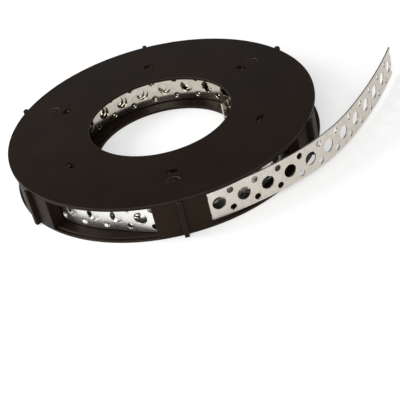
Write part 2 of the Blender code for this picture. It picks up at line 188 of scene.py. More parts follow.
def arc(radius, start, end, steps, centre=(0.0, 0.0)):
    """Points along an arc, both ends included."""
    points = [polar(radius, start + (end - start) * i / steps) for i in range(steps + 1)]
    return [(centre[0] + x, centre[1] + y) for x, y in points]


def rounded(points, radius, steps=3, least=20.0):
    """Round the corners of a closed outline that turn by more than a few degrees."""
    out = []
    count = len(points)
    for i in range(count):
        here = Vector(points[i])
        before = Vector(points[i - 1]) - here
        after = Vector(points[(i + 1) % count]) - here
        turn = math.pi - before.angle(after)
        if math.degrees(turn) < least:
            out.append(tuple(here))
            continue
        cut = min(radius * math.tan(turn / 2), before.length * 0.45, after.length * 0.45)
        a = here + before.normalized() * cut
        b = here + after.normalized() * cut
        for k in range(steps + 1):
            t = k / steps
            out.append(tuple((1 - t) ** 2 * a + 2 * t * (1 - t) * here + t * t * b))
    return out


print("a rounded square has", len(rounded([(0, 0), (1, 0), (1, 1), (0, 1)], 0.1)), "points")


# %% Turned rings and plates cut from flat outlines
def turned(name, profile, steps):
    """A ring: a closed profile of (radius, height) points, swept round the cassette's axis."""
    shape = bmesh.new()
    verts = [shape.verts.new((r, 0.0, z)) for r, z in profile]
    for pair in zip(verts, verts[1:] + verts[:1]):
        shape.edges.new(pair)
    mesh = bpy.data.meshes.new(name)
    shape.to_mesh(mesh)
    shape.free()
    ring = add_piece(name, mesh)
    ring.location.x = AXIS_X
    screw = ring.modifiers.new("turn", "SCREW")
    screw.steps = steps
    screw.render_steps = steps
    screw.use_merge_vertices = True
    screw.merge_threshold = 1e-6
    return applied(ring)


def plate(name, outlines, bottom, top, edge=0.0):
    """A flat plate with the given outlines, its rims rounded by the curve's own bevel."""
    curve = bpy.data.curves.new(name, "CURVE")
    curve.dimensions = "2D"
    curve.fill_mode = "BOTH"
    curve.extrude = (top - bottom) / 2 - edge
    curve.bevel_depth = edge
    curve.bevel_resolution = 2
    curve.offset = -edge
    for outline in outlines:
        spline = curve.splines.new("POLY")
        spline.points.add(len(outline) - 1)
        for point, (x, y) in zip(spline.points, outline):
            point.co = (x, y, 0.0, 1.0)
        spline.use_cyclic_u = True
    drawn = bpy.data.objects.new(name, curve)
    bpy.context.scene.collection.objects.link(drawn)
    drawn.location.z = (top + bottom) / 2
    piece = applied(drawn)
    shape = bmesh.new()
    shape.from_mesh(piece.data)
    bmesh.ops.remove_doubles(shape, verts=shape.verts, dist=2e-6)
    bmesh.ops.recalc_face_normals(shape, faces=shape.faces)
    shape.to_mesh(piece.data)
    shape.free()
    return piece


def join_or_cut(piece, tool, operation):
    """Apply one exact Boolean and remove the tool."""
    modifier = piece.modifiers.new("cut", "BOOLEAN")
    modifier.object = tool
    modifier.operation = operation
    modifier.solver = "EXACT"
    done = applied(piece)
    bpy.data.objects.remove(tool, do_unlink=True)
    return done


# %% [markdown]
# ## Lid
#
# The lid is a flat moulded ring, 204 mm across and about 2 mm thick. Its edges are rounded a
# little, and that, together with the painted highlight that the plastic puts on rounded edges,
# draws the thin bright line round it. It is turned from a rounded profile, because a profile
# gives every edge its own radius for no extra work.
# %% Turn the lid
RING_STEPS = 192
LID_EDGE = 0.5 * MM
lid_profile = rounded([
    (BORE_RADIUS, CASSETTE_HEIGHT),
    (PLATE_RADIUS, CASSETTE_HEIGHT),
    (PLATE_RADIUS, LID_BOTTOM),
    (BORE_RADIUS, LID_BOTTOM),
], LID_EDGE, 4)
lid = turned("cassette_lid_skin", lid_profile, RING_STEPS)
print("lid ring", len(lid.data.polygons), "faces")

# %% [markdown]
# Six small slots stand on one ring of the lid, each with a shallow tongue on one half, on
# which a little round pip sits. Three round gate marks show where the plastic entered the
# mould: a shallow dish with the broken-off gate in its middle. Dishes and slots are cut with
# Booleans, and pips are joined on, since the real lid is one moulding.
# %% Cut the slots and gate marks
RIB_ANGLES = [30.0 + 60.0 * i for i in range(6)]
SLOT_RING = PLATE_RADIUS - 31.6 * MM
SLOT_LENGTH = 7.0 * MM
SLOT_WIDTH = 3.8 * MM
TONGUE_LENGTH = 3.0 * MM
TONGUE_DROP = 0.9 * MM
PIP_RADIUS = 1.1 * MM
GATE_RING = PLATE_RADIUS - 21.4 * MM
GATE_RADIUS = 4.0 * MM
GATE_DEPTH = 0.3 * MM


def on_ring(radius, angle, along=0.0, height=0.0):
    """A frame on a ring of the lid: X runs round the ring, Y runs inward."""
    x, y = polar(radius, angle)
    turn = Matrix.Rotation(math.radians(angle + 90.0), 4, "Z")
    return Matrix.Translation((AXIS_X + x, y, height)) @ turn @ Matrix.Translation((along, 0.0, 0.0))


def cone(name, low_radius, high_radius, bottom, top, sides, place):
    """A short cone with both caps, set on the lid."""
    shape = bmesh.new()
    bmesh.ops.create_cone(shape, cap_ends=True, segments=sides, radius1=low_radius,
                          radius2=high_radius, depth=top - bottom)
    bmesh.ops.translate(shape, verts=shape.verts, vec=(0.0, 0.0, (top + bottom) / 2))
    bmesh.ops.transform(shape, verts=shape.verts, matrix=place)
    mesh = bpy.data.meshes.new(name)
    shape.to_mesh(mesh)
    shape.free()
    return add_piece(name, mesh)


def slot_box(length, along, bottom, top, angle):
    """A block with rounded corners that cuts one slot."""
    half = (length / 2, SLOT_WIDTH / 2)
    corners = [(-half[0], -half[1]), (half[0], -half[1]), (half[0], half[1]), (-half[0], half[1])]
    block = plate("slot_cutter", [rounded(corners, 0.5 * MM)], bottom, top)
    block.data.transform(on_ring(SLOT_RING, angle, along))
    return block


for angle in RIB_ANGLES:
    tongue_floor = CASSETTE_HEIGHT - TONGUE_DROP
    pocket = slot_box(SLOT_LENGTH, 0.0, tongue_floor, CASSETTE_HEIGHT + MM, angle)
    lid = join_or_cut(lid, pocket, "DIFFERENCE")
    hole = slot_box(SLOT_LENGTH - TONGUE_LENGTH, TONGUE_LENGTH / 2, LID_BOTTOM - MM,
                    CASSETTE_HEIGHT + MM, angle)
    lid = join_or_cut(lid, hole, "DIFFERENCE")
    at = on_ring(SLOT_RING, angle, -SLOT_LENGTH / 2 + PIP_RADIUS + 0.3 * MM)
    pip = cone("pip", PIP_RADIUS, PIP_RADIUS * 0.45, tongue_floor - 0.2 * MM,
               CASSETTE_HEIGHT - 0.15 * MM, 20, at)
    lid = join_or_cut(lid, pip, "UNION")
for angle in RIB_ANGLES[::2]:
    dish = cone("dish", GATE_RADIUS - GATE_DEPTH, GATE_RADIUS + MM, CASSETTE_HEIGHT - GATE_DEPTH,
                CASSETTE_HEIGHT + MM, 48, on_ring(GATE_RING, angle))
    lid = join_or_cut(lid, dish, "DIFFERENCE")
    stub = cone("stub", 1.1 * MM, 0.7 * MM, CASSETTE_HEIGHT - 2 * GATE_DEPTH,
                CASSETTE_HEIGHT - 0.05 * MM, 20, on_ring(GATE_RING, angle))
    lid = join_or_cut(lid, stub, "UNION")
mark_edges(lid)
crisp(lid)
print("lid", len(lid.data.polygons), "faces")

# %% [markdown]
# ## Base
#
# The base is one moulding too: a ring, five hollow pillars shaped like a letter E in plan,
# one plain guide wall, and six outside ribs. The ring's edge steps down in the windows, so two
# rounded edges lie one above the other there. The pillars are flat outlines pushed up to the
# lid, because the curve's own bevel rounds their top edges in the same stroke.
# %% Turn the base ring
PILLAR_DEPTH = 8.2 * MM
WALL_THICKNESS = 2.5 * MM
WALL_HALF_ANGLE = 9.4
WEB_THICKNESS = 2.0 * MM
GUIDE_ANGLE = -90.0
RIM_STEP_WIDTH = 2.6 * MM
RIM_STEP_DEPTH = 0.8 * MM
HAIR = 0.02 * MM
pillar_inner = PLATE_RADIUS - PILLAR_DEPTH
wall_inner = PLATE_RADIUS - WALL_THICKNESS
ledge = KERB_TOP - RIM_STEP_DEPTH
ring_profile = rounded([
    (BORE_RADIUS, BASE_THICKNESS),
    (pillar_inner - 0.2 * MM, BASE_THICKNESS),
    (pillar_inner, KERB_TOP),
    (PLATE_RADIUS - RIM_STEP_WIDTH, KERB_TOP),
    (PLATE_RADIUS - RIM_STEP_WIDTH, ledge),
    (PLATE_RADIUS - HAIR, ledge),
    (PLATE_RADIUS - HAIR, 0.0),
    (BORE_RADIUS, 0.0),
], 0.4 * MM, 4)
base = turned("cassette_base_skin", ring_profile, RING_STEPS)
print("base ring", len(base.data.polygons), "faces")

# %% Raise the pillars, the guide wall and the ribs
RIB_WIDTH = 2.9 * MM
SOFT_EDGE = 0.2 * MM


def swing(points, angle):
    """Turn an outline round the axis, and set it on the cassette."""
    c, s = math.cos(math.radians(angle)), math.sin(math.radians(angle))
    return [(AXIS_X + x * c - y * s, x * s + y * c) for x, y in points]


def pillar_outline():
    """A pillar in plan: an outer wall with a web at each end and one in the middle."""
    web = math.degrees(WEB_THICKNESS / PLATE_RADIUS)
    points = arc(PLATE_RADIUS, -WALL_HALF_ANGLE, WALL_HALF_ANGLE, 20)
    for start, end in ((WALL_HALF_ANGLE, WALL_HALF_ANGLE - web), (web / 2, -web / 2),
                       (web - WALL_HALF_ANGLE, -WALL_HALF_ANGLE)):
        if start != WALL_HALF_ANGLE:
            points += arc(wall_inner, last, start, 7)
        points += arc(pillar_inner, start, end, 1)
        last = end
    return points


def guide_outline():
    """The guide wall in plan."""
    outer = arc(PLATE_RADIUS, -WALL_HALF_ANGLE, WALL_HALF_ANGLE, 20)
    return outer + arc(wall_inner, WALL_HALF_ANGLE, -WALL_HALF_ANGLE, 20)


def rib_outline():
    """A rib seen from the side: as high as the cassette, with its head beside the lid's edge."""
    root = PLATE_RADIUS - WALL_THICKNESS / 2
    beside_lid = PLATE_RADIUS + SEAT_GAP
    return rounded([
        (root, 0.8 * MM),
        (PLATE_RADIUS + 0.3 * MM, 0.0),
        (RIB_REACH, 0.0),
        (RIB_REACH, CASSETTE_HEIGHT),
        (beside_lid, CASSETTE_HEIGHT),
        (beside_lid, WALL_TOP - SEAT_GAP),
        (root, WALL_TOP - SEAT_GAP),
    ], 0.5 * MM)


for angle in RIB_ANGLES:
    guide = abs((angle - GUIDE_ANGLE + 180.0) % 360.0 - 180.0) < 1.0
    outline = rounded(guide_outline() if guide else pillar_outline(), 0.4 * MM)
    wall = plate("wall", [swing(outline, angle)], 0.5 * MM, WALL_TOP, SOFT_EDGE)
    base = join_or_cut(base, wall, "UNION")
for angle in RIB_ANGLES:
    rib = plate("rib", [rib_outline()], -RIB_WIDTH / 2, RIB_WIDTH / 2, SOFT_EDGE)
    stand = Matrix.Rotation(math.radians(angle), 4, "Z") @ Matrix.Rotation(math.radians(90.0), 4, "X")
    rib.data.transform(Matrix.Translation((AXIS_X, 0.0, 0.0)) @ stand)
    base = join_or_cut(base, rib, "UNION")
mark_edges(base)
crisp(base)
print("base", len(base.data.polygons), "faces")


# %% [markdown]
# ## Strap
#
# The real strap is punched while it is flat and is bent afterwards, so it is made in that order
# here. First comes the line it follows in plan: from the cut end that springs into the bore,
# round about nineteen turns, once more round on the outside, past the guide wall and along the
# free tail. The solids hold the outermost turn, the tail and the inner end, so those stretches
# repeat the same bends. The turns between them are a plain spiral with a little wander in it.
# %% Draw the strap's line
EXIT_ANGLE = GUIDE_ANGLE + WALL_HALF_ANGLE
LIFT_START = EXIT_ANGLE - 38.0
LIFT_END = EXIT_ANGLE - 8.0
FIRST_TURN = 57.3 * MM
OUTER_TURN_START = 91.0 * MM
OUTER_TURN_END = 91.9 * MM
GUIDE_PATH = wall_inner - SEAT_GAP - STRAP_THICKNESS / 2
TURNS = 18
INNER_BEND_RADIUS = 27.3 * MM
INNER_BEND = 88.8
INNER_MEETS_COIL = 39.8
TAIL_SPRING_ANGLE = 0.4
TAIL_BENDS = [(200.0 * MM, 63.5 * MM), (127.8 * MM, 50.0 * MM), (373.0 * MM, 78.3 * MM)]
WANDER = 0.22 * MM


def ease(value):
    """A smooth step from 0 to 1."""
    value = np.clip(value, 0.0, 1.0)
    return value * value * (3.0 - 2.0 * value)


def spiral_points():
    """The wound turns, from the innermost one to the start of the outermost one."""
    start, end = INNER_MEETS_COIL, EXIT_ANGLE + 360.0 * (TURNS + 1)
    angle = np.arange(start, end, 0.5)
    share = (angle - start) / (end - start)
    radius = FIRST_TURN + (OUTER_TURN_START - FIRST_TURN) * share
    loose = ease((angle - start - 500.0) / 300.0) * ease((end - angle - 500.0) / 300.0)
    turn = np.radians(angle)
    radius += WANDER * loose * (np.sin(turn * 1.03) + np.sin(turn * 2.11 + share * 9.0)) / 2
    return np.column_stack([radius * np.cos(turn), radius * np.sin(turn)])


def outermost_points():
    """Once more round on the outside, lifting out to the guide wall before the exit."""
    angle = np.arange(EXIT_ANGLE - 360.0, EXIT_ANGLE + 0.01, 0.5)
    share = (angle - EXIT_ANGLE + 360.0) / 360.0
    radius = OUTER_TURN_START + (OUTER_TURN_END - OUTER_TURN_START) * share
    radius += (GUIDE_PATH - radius) * ease((angle - LIFT_START) / (LIFT_END - LIFT_START))
    return np.column_stack([radius * np.cos(np.radians(angle)), radius * np.sin(np.radians(angle))])


def tail_points(start, heading):
    """The free tail: gentle bends to the left, one after another."""
    points = [start]
    for radius, length in TAIL_BENDS:
        for _ in range(80):
            heading += length / 80 / radius / 2
            step = length / 80 * np.array([math.cos(heading), math.sin(heading)])
            points.append(points[-1] + step)
            heading += length / 80 / radius / 2
    return np.array(points[1:])


inner_centre = polar(FIRST_TURN - INNER_BEND_RADIUS, INNER_MEETS_COIL)
inner_points = arc(INNER_BEND_RADIUS, INNER_MEETS_COIL - INNER_BEND, INNER_MEETS_COIL, 90, inner_centre)
wound = np.vstack([np.array(inner_points)[:-1], spiral_points(), outermost_points()])
tail = tail_points(wound[-1], math.radians(EXIT_ANGLE + 90.0 - TAIL_SPRING_ANGLE))
line = np.vstack([wound, tail])
step = np.hypot(*np.diff(line, axis=0).T)
line = line[np.concatenate([[True], step > 1e-7])]
runs = np.hypot(*np.diff(line, axis=0).T)
walked = np.concatenate([[0.0], np.cumsum(runs)])
bearing = np.unwrap(np.arctan2(np.diff(line[:, 1]), np.diff(line[:, 0])))
heading = np.interp(walked, (walked[1:] + walked[:-1]) / 2, bearing)
STRAP_LENGTH = float(walked[-1])
print("strap length", round(STRAP_LENGTH, 3), "m")

# %% [markdown]
# One pitch of strap holds a large hole and, at each end, half of a pair of small ones. Its face
# is filled by a Delaunay triangulation with a few points of its own between the holes, so that
# it bends evenly. Each border then gets a wall, and the cells that can be seen get a narrow
# rounded edge as well. A cell is stored once as numbers and laid out along the strap.
# %% Make one flat cell
BRIDGE = (LARGE_HOLE / 2 + HOLE_PITCH / 2 - SMALL_HOLE / 2) / 2


def hole_border(centre, diameter, start, end, steps):
    """Border points round a hole with their outward normals, walked with the hole on the left."""
    rows = []
    for i in range(steps + 1):
        x, y = polar(1.0, start + (end - start) * i / steps)
        rows.append((centre[0] + x * diameter / 2, centre[1] + y * diameter / 2, -x, -y))
    return np.array(rows)


def cell_borders(first, sides, columns):
    """All borders of a cell: the two long edges, the large hole and the four half holes."""
    last, half, spread = HOLE_PITCH / 2, STRAP_WIDTH / 2, SMALL_HOLE_SPREAD / 2
    xs = np.linspace(first, last, columns + 1)
    flat = np.zeros_like(xs)
    borders = [
        np.column_stack([xs, flat + half, flat, flat + 1.0]),
        np.column_stack([xs[::-1], flat - half, flat, flat - 1.0]),
        hole_border((0.0, 0.0), LARGE_HOLE, 0.0, 360.0, sides),
    ]
    for y in (spread, -spread):
        borders.append(hole_border((last, y), SMALL_HOLE, 90.0, 270.0, sides // 4))
        if first == -last:
            borders.append(hole_border((first, y), SMALL_HOLE, -90.0, 90.0, sides // 4))
    return borders


def fill_face(borders, edge, spacing):
    """Points and triangles of a cell's flat face, drawn in from its borders by the edge's width."""
    points, chains, holes = [], [], []
    for k, border in enumerate(borders):
        inset = border[:, :2] - border[:, 2:] * edge
        ring = k == 2
        first = len(points)
        points += inset[:-1].tolist() if ring else inset.tolist()
        chain = list(range(first, len(points)))
        holes.append(set(chain) if k > 1 else set())
        chains += list(zip(chain, chain[1:] + chain[:1] if ring else chain[1:]))
    if spacing:
        centres = [((0.0, 0.0), LARGE_HOLE / 2)]
        for x in (-HOLE_PITCH / 2, HOLE_PITCH / 2):
            for y in (-SMALL_HOLE_SPREAD / 2, SMALL_HOLE_SPREAD / 2):
                centres.append(((x, y), SMALL_HOLE / 2))
        low = borders[0][0, 0]
        for x in np.arange(low, HOLE_PITCH / 2 + 1e-6, (HOLE_PITCH / 2 - low) / 6):
            for y in np.arange(-3, 4) * spacing:
                clear = min(math.hypot(x - c[0], y - c[1]) - r for c, r in centres)
                if clear > 0.35 * spacing:
                    points.append([float(x), float(y)])
    flat = [Vector(p) for p in points]
    verts, _, faces, origin, _, _ = delaunay_2d_cdt(flat, chains, [], 0, 1e-7)
    back_to = [o[0] for o in origin]
    out = []
    for face in faces:
        corners = [back_to[i] for i in face]
        if any(set(corners) <= hole for hole in holes):
            continue
        (ax, ay), (bx, by), (cx, cy) = (points[i] for i in corners)
        area = (bx - ax) * (cy - ay) - (by - ay) * (cx - ax)
        if abs(area) > 1e-12:
            out.append(corners if area > 0 else corners[::-1])
    return np.array(points), np.array(out)


def make_cell(first, sides, columns, edge, spacing):
    """A solid cell without end faces: vertex rows (along, across, out, normal) and faces."""
    borders = cell_borders(first, sides, columns)
    points, triangles = fill_face(borders, edge, spacing)
    half = STRAP_THICKNESS / 2
    rows, faces = [], []
    for side in (1.0, -1.0):
        base_index = len(rows)
        rows += [(x, y, side * half, 0.0, 0.0, side) for x, y in points]
        order = triangles if side > 0 else triangles[:, ::-1]
        faces += (order + base_index).tolist()
    for border in borders:
        walls = [border[:, :2]] * 2
        levels = [half - edge, edge - half]
        if edge:
            inset = border[:, :2] - border[:, 2:] * edge
            walls = [inset] + walls + [inset]
            levels = [half] + levels + [-half]
        start = len(rows)
        for k, (wall, level_out) in enumerate(zip(walls, levels)):
            face_on = edge and k in (0, 3)
            for (x, y), (nx, ny) in zip(wall, border[:, 2:]):
                normal = (0.0, 0.0, math.copysign(1.0, level_out)) if face_on else (nx, ny, 0.0)
                rows.append((x, y, level_out, *normal))
        count = len(border)
        for k in range(len(walls) - 1):
            for i in range(count - 1):
                a = start + k * count + i
                faces.append([a, a + 1, a + count + 1, a + count])
    return np.array(rows), faces


FINE_EDGE = 0.13 * MM
fine_cell = make_cell(-HOLE_PITCH / 2, 24, 8, FINE_EDGE, 2.7 * MM)
plain_cell = make_cell(-HOLE_PITCH / 2, 12, 4, 0.0, 0.0)
first_cell = make_cell(-BRIDGE, 24, 8, FINE_EDGE, 2.7 * MM)
for name, cell in (("fine", fine_cell), ("plain", plain_cell), ("first", first_cell)):
    print(name, "cell", len(cell[0]), "points", sum(len(f) - 2 for f in cell[1]), "triangles")

# %% [markdown]
# The cells are counted back from the tail's cut, which goes through a pair of small holes, and
# forward from the inner cut, which goes through plain steel. Where the two counts meet inside
# the coil, the pitch is stretched by a hair so that both ends come out right.
# %% Lay the cells along the strap
outer_count = round((2 * math.pi * OUTER_TURN_END * 2 + sum(b[1] for b in TAIL_BENDS)) / HOLE_PITCH)
first_end = BRIDGE + HOLE_PITCH / 2
outer_start = STRAP_LENGTH - outer_count * HOLE_PITCH
inner_count = round((outer_start - first_end) / HOLE_PITCH)
inner_pitch = (outer_start - first_end) / inner_count
inner_fine = 46
print("cells", inner_count + outer_count + 1, "inner pitch", round(inner_pitch / MM, 4), "mm")


def cap(along, facing, spans, edge):
    """The cut face at one end of the strap, as one polygon for each span of steel."""
    half = STRAP_THICKNESS / 2
    rows, faces = [], []
    for low, high in spans:
        ring = [(low + edge, half), (high - edge, half), (high, half - edge), (high, edge - half),
                (high - edge, -half), (low + edge, -half), (low, edge - half), (low, half - edge)]
        start = len(rows)
        rows += [(along, y, w, facing, 0.0, 0.0) for y, w in ring]
        order = list(range(start, start + 8))
        faces.append(order if facing < 0 else order[::-1])
    return np.array(rows), faces


def strap_piece(name, cells, caps=()):
    """Bend flat cells along the strap's line and make one mesh of them."""
    rows, faces, count = [], [], 0
    for (cell_rows, cell_faces), middle, pitch in cells:
        moved = cell_rows.copy()
        moved[:, 0] = middle + moved[:, 0] * pitch / HOLE_PITCH
        rows.append(moved)
        faces += [[i + count for i in face] for face in cell_faces]
        count += len(moved)
    for cap_rows, cap_faces in caps:
        rows.append(cap_rows)
        faces += [[i + count for i in face] for face in cap_faces]
        count += len(cap_rows)
    rows = np.vstack(rows)
    keys = np.round(rows * [1e6, 1e6, 1e6, 50, 50, 50]).astype(np.int64)
    _, first, back_to = np.unique(keys, axis=0, return_index=True, return_inverse=True)
    rows = rows[first]
    back_to = back_to.ravel()
    faces = [[int(back_to[i]) for i in face] for face in faces]
    along, across, out = rows[:, 0], rows[:, 1], rows[:, 2]
    turn = np.interp(along, walked, heading)
    ahead = np.column_stack([np.cos(turn), np.sin(turn), np.zeros_like(turn)])
    aside = np.column_stack([np.sin(turn), -np.cos(turn), np.zeros_like(turn)])
    place = np.column_stack([
        AXIS_X + np.interp(along, walked, line[:, 0]),
        np.interp(along, walked, line[:, 1]),
        STRAP_MIDDLE + across,
    ]) + aside * out[:, None]
    normal = ahead * rows[:, 3:4] + aside * rows[:, 5:6]
    normal[:, 2] += rows[:, 4]
    mesh = bpy.data.meshes.new(name)
    mesh.from_pydata(place.tolist(), [], faces)
    mesh.shade_smooth()
    mesh.normals_split_custom_set_from_vertices(normal.tolist())
    spot = mesh.attributes.new("strap_place", "FLOAT_VECTOR", "POINT")
    spot.data.foreach_set("vector", rows[:, :3].astype(np.float32).ravel())
    piece = add_piece(name, mesh)
    print(name, len(mesh.vertices), "points", sum(len(f) - 2 for f in faces), "triangles")
    return piece


def inner_cell(i, cell):
    """The i-th cell after the first, counted from the inner cut."""
    return (cell, first_end + (i + 0.5) * inner_pitch, inner_pitch)


def outer_cell(i, cell):
    """The i-th cell counted from where the outer stretch starts."""
    return (cell, outer_start + (i + 0.5) * HOLE_PITCH, HOLE_PITCH)


half_width = STRAP_WIDTH / 2
small_low = (SMALL_HOLE_SPREAD - SMALL_HOLE) / 2
small_high = (SMALL_HOLE_SPREAD + SMALL_HOLE) / 2
inner_cap = cap(0.0, -1.0, [(-half_width, half_width)], FINE_EDGE)
tail_cap = cap(STRAP_LENGTH, 1.0, [(-half_width, -small_high), (-small_low, small_low),
                                   (small_high, half_width)], FINE_EDGE)
inner_cells = [(first_cell, BRIDGE, HOLE_PITCH)] + [inner_cell(i, fine_cell) for i in range(inner_fine)]
middle_cells = [inner_cell(i, plain_cell) for i in range(inner_fine, inner_count)]
outer_cells = [outer_cell(i, fine_cell) for i in range(outer_count)]
strap_inner = strap_piece("strap_inner_turns", inner_cells, [inner_cap])
strap_middle = strap_piece("strap_middle_turns", middle_cells)
strap_outer = strap_piece("strap_outer_turns_and_tail", outer_cells, [tail_cap])


# %% [markdown]
# ## Writing materials as sums
#
# A material is easier to read as a sum than as a web of nodes. `Wire` wraps a node's output
# and overloads Python's operators, so that `0.4 + 0.1 * grain` adds its Math nodes by itself.
# `Finish` is one Principled material, with one method that makes any other node.
# %% Wires and finishes
class Wire:
    """A number that varies over a surface."""

    def __init__(self, finish, socket):
        self.finish = finish
        self.socket = socket

    def math(self, operation, *values):
        """Any Math node, fed with numbers and wires."""
        inputs = dict(enumerate(values))
        return self.finish.node("ShaderNodeMath", {"operation": operation}, inputs)

    def __add__(self, other):
        return self.math("ADD", self, other)

    __radd__ = __add__

    def __sub__(self, other):
        return self.math("SUBTRACT", self, other)

    def __rsub__(self, other):
        return self.math("SUBTRACT", other, self)

    def __mul__(self, other):
        return self.math("MULTIPLY", self, other)

    __rmul__ = __mul__

    def clipped(self):
        """Held between 0 and 1."""
        return self.finish.node("ShaderNodeClamp", {}, {"Value": self})


class Finish:
    """One Principled material, and the nodes that feed it."""

    def __init__(self, name, **fixed):
        self.material = bpy.data.materials.new(name)
        self.material.use_nodes = True
        self.tree = self.material.node_tree
        self.shader = self.tree.nodes["Principled BSDF"]
        for socket, value in fixed.items():
            self.shader.inputs[socket.replace("_", " ")].default_value = value

    def node(self, kind, settings, inputs, output=0):
        """Make a node: its settings first, then the values or links of its sockets."""
        node = self.tree.nodes.new(kind)
        for name, value in settings.items():
            if name == "stops":
                for stop, (at, colour) in zip(node.color_ramp.elements, value):
                    stop.position = at
                    stop.color = colour
            else:
                setattr(node, name, value)
        for key, value in inputs.items():
            if isinstance(value, Wire):
                self.tree.links.new(value.socket, node.inputs[key])
            else:
                node.inputs[key].default_value = value
        return Wire(self, node.outputs[output])

    def place(self):
        """The point on the piece, in metres."""
        return self.node("ShaderNodeTexCoord", {}, {}, "Object")

    def scaled(self, vector, scale):
        """A vector with each part multiplied."""
        return self.node("ShaderNodeVectorMath", {"operation": "MULTIPLY"}, {0: vector, 1: scale})

    def noise(self, vector, scale, detail=3.0, roughness=0.55):
        """Soft noise between 0 and 1."""
        return self.node("ShaderNodeTexNoise", {}, {"Vector": vector, "Scale": scale,
                                                    "Detail": detail, "Roughness": roughness})

    def ramp(self, value, low, high):
        """0 below low, 1 above high, and smooth between."""
        settings = {"interpolation_type": "SMOOTHSTEP"}
        inputs = {"Value": value, "From Min": low, "From Max": high}
        return self.node("ShaderNodeMapRange", settings, inputs)

    def mix(self, share, low, high):
        """From one colour to another."""
        return self.node("ShaderNodeMix", {"data_type": "RGBA"}, {0: share, 6: low, 7: high}, 2)

    def bump(self, height, distance, strength=1.0):
        """Relief from a height between 0 and 1, as deep as the distance in metres."""
        inputs = {"Height": height, "Distance": distance, "Strength": strength}
        return self.node("ShaderNodeBump", {}, inputs, "Normal")

    def feed(self, **wires):
        """Link what varies into the shader."""
        for socket, wire in wires.items():
            self.tree.links.new(wire.socket, self.shader.inputs[socket.replace("_", " ")])
        return self.material


print("helpers ready:", Wire.__name__, "and", Finish.__name__)

# %% [markdown]
# ## Black plastic
#
# The cassette is moulded in a warm black with a fine matt grain. It is nearly flat from above
# and turns pale at grazing angles, so its gloss is kept low and its grain fine. Handling has
# left soft smears and a few hair-fine scuffs, which show more in the roughness than in the
# colour. The marked rounded edges are painted paler, a painted highlight, and are made smoother
# than the faces beside them.
# %% Mix the black plastic
plastic = Finish("black_plastic", Specular_IOR_Level=0.16, Specular_Tint=(1.0, 0.75, 0.55, 1.0))
spot = plastic.place()
edge = plastic.node("ShaderNodeAttribute", {"attribute_name": "edge"}, {}, "Fac")
smear = plastic.noise(spot, 28.0, 4.0)
grain = plastic.noise(spot, 5200.0, 2.0)
flow = plastic.noise(plastic.scaled(spot, (60.0, 60.0, 400.0)), 1.0, 5.0, 0.65)
scuff_a = plastic.noise(plastic.scaled(spot, (90.0, 2600.0, 900.0)), 1.0, 2.0)
scuff_b = plastic.noise(plastic.scaled(spot, (2200.0, 140.0, 900.0)), 1.0, 2.0)
scuffs = plastic.ramp(scuff_a, 0.70, 0.80) + plastic.ramp(scuff_b, 0.71, 0.82)
worn = (scuffs * plastic.ramp(smear, 0.45, 0.7)).clipped()
shade = plastic.ramp(0.6 * smear + 0.4 * flow, 0.35, 0.65)
dark = (0.0075, 0.0042, 0.0024, 1.0)
light = (0.0120, 0.0072, 0.0043, 1.0)
scuffed = (0.032, 0.025, 0.019, 1.0)
# Painted highlight: the paler colour that the marked rounded edges get, where lamps would catch them.
painted_edge_highlight = (0.075, 0.062, 0.050, 1.0)
colour = plastic.mix(worn * 0.5, plastic.mix(shade, dark, light), scuffed)
plastic_finish = plastic.feed(
    Base_Color=plastic.mix(edge * (0.45 + 0.4 * smear), colour, painted_edge_highlight),
    Roughness=(0.44 + 0.10 * smear + 0.08 * worn + 0.05 * grain) - 0.16 * edge,
    Normal=plastic.bump(grain + 0.5 * flow, 0.000010),
)
print("plastic nodes", len(plastic.tree.nodes))

# %% [markdown]
# ## Zinc-coated steel
#
# The strap is rolled steel with a zinc skin. Three things give it away: a speckle finer than a
# millimetre, faint rolling lines along its length, and large soft crystals of slightly
# different brightness. The lines need to know which way the strap runs, so every point of the
# strap carries its place on the flat strip, and the bend doesn't disturb the pattern. The same
# place tells the free tail, which is rougher and keeps the plain zinc colour, from the wound
# turns, which are painted paler, a painted light like the front lamp's on the window strap. The
# inner turns are smoother, mirror the floor and the dark base ring in the bore, and are painted
# darker, a painted shade of the bore.
# %% Mix the zinc
zinc = Finish("galvanised_steel", Metallic=1.0)
strip = zinc.node("ShaderNodeAttribute", {"attribute_name": "strap_place"}, {}, "Vector")
along = zinc.node("ShaderNodeSeparateXYZ", {}, {0: strip}, 0)
speckle = zinc.noise(strip, 3000.0, 2.0, 0.7)
blotch = zinc.noise(strip, 90.0, 3.0)
rolling = zinc.noise(zinc.scaled(strip, (40.0, 2600.0, 900.0)), 1.0, 3.0)
crystal = zinc.node("ShaderNodeTexVoronoi", {"feature": "F1"}, {"Vector": strip, "Scale": 420.0}, "Color")
crystal = zinc.node("ShaderNodeSeparateColor", {}, {0: crystal}, 0)
tone = (0.52 * speckle + 0.12 * blotch + 0.22 * rolling + 0.14 * crystal).clipped()
tone = zinc.ramp(tone, 0.30, 0.70)
tail_length = sum(length for radius, length in TAIL_BENDS)
# Painted light: the wound turns get a paler zinc than the free tail, like the lamp-lit window strap; the
# tail is also rougher.
tail_share = zinc.ramp(along, STRAP_LENGTH - 1.2 * tail_length, STRAP_LENGTH - 0.9 * tail_length)
painted_lit_zinc = zinc.mix(tone, (0.80, 0.775, 0.735, 1.0), (0.93, 0.915, 0.885, 1.0))
plain_zinc = zinc.mix(tone, (0.56, 0.52, 0.455, 1.0), (0.70, 0.66, 0.595, 1.0))
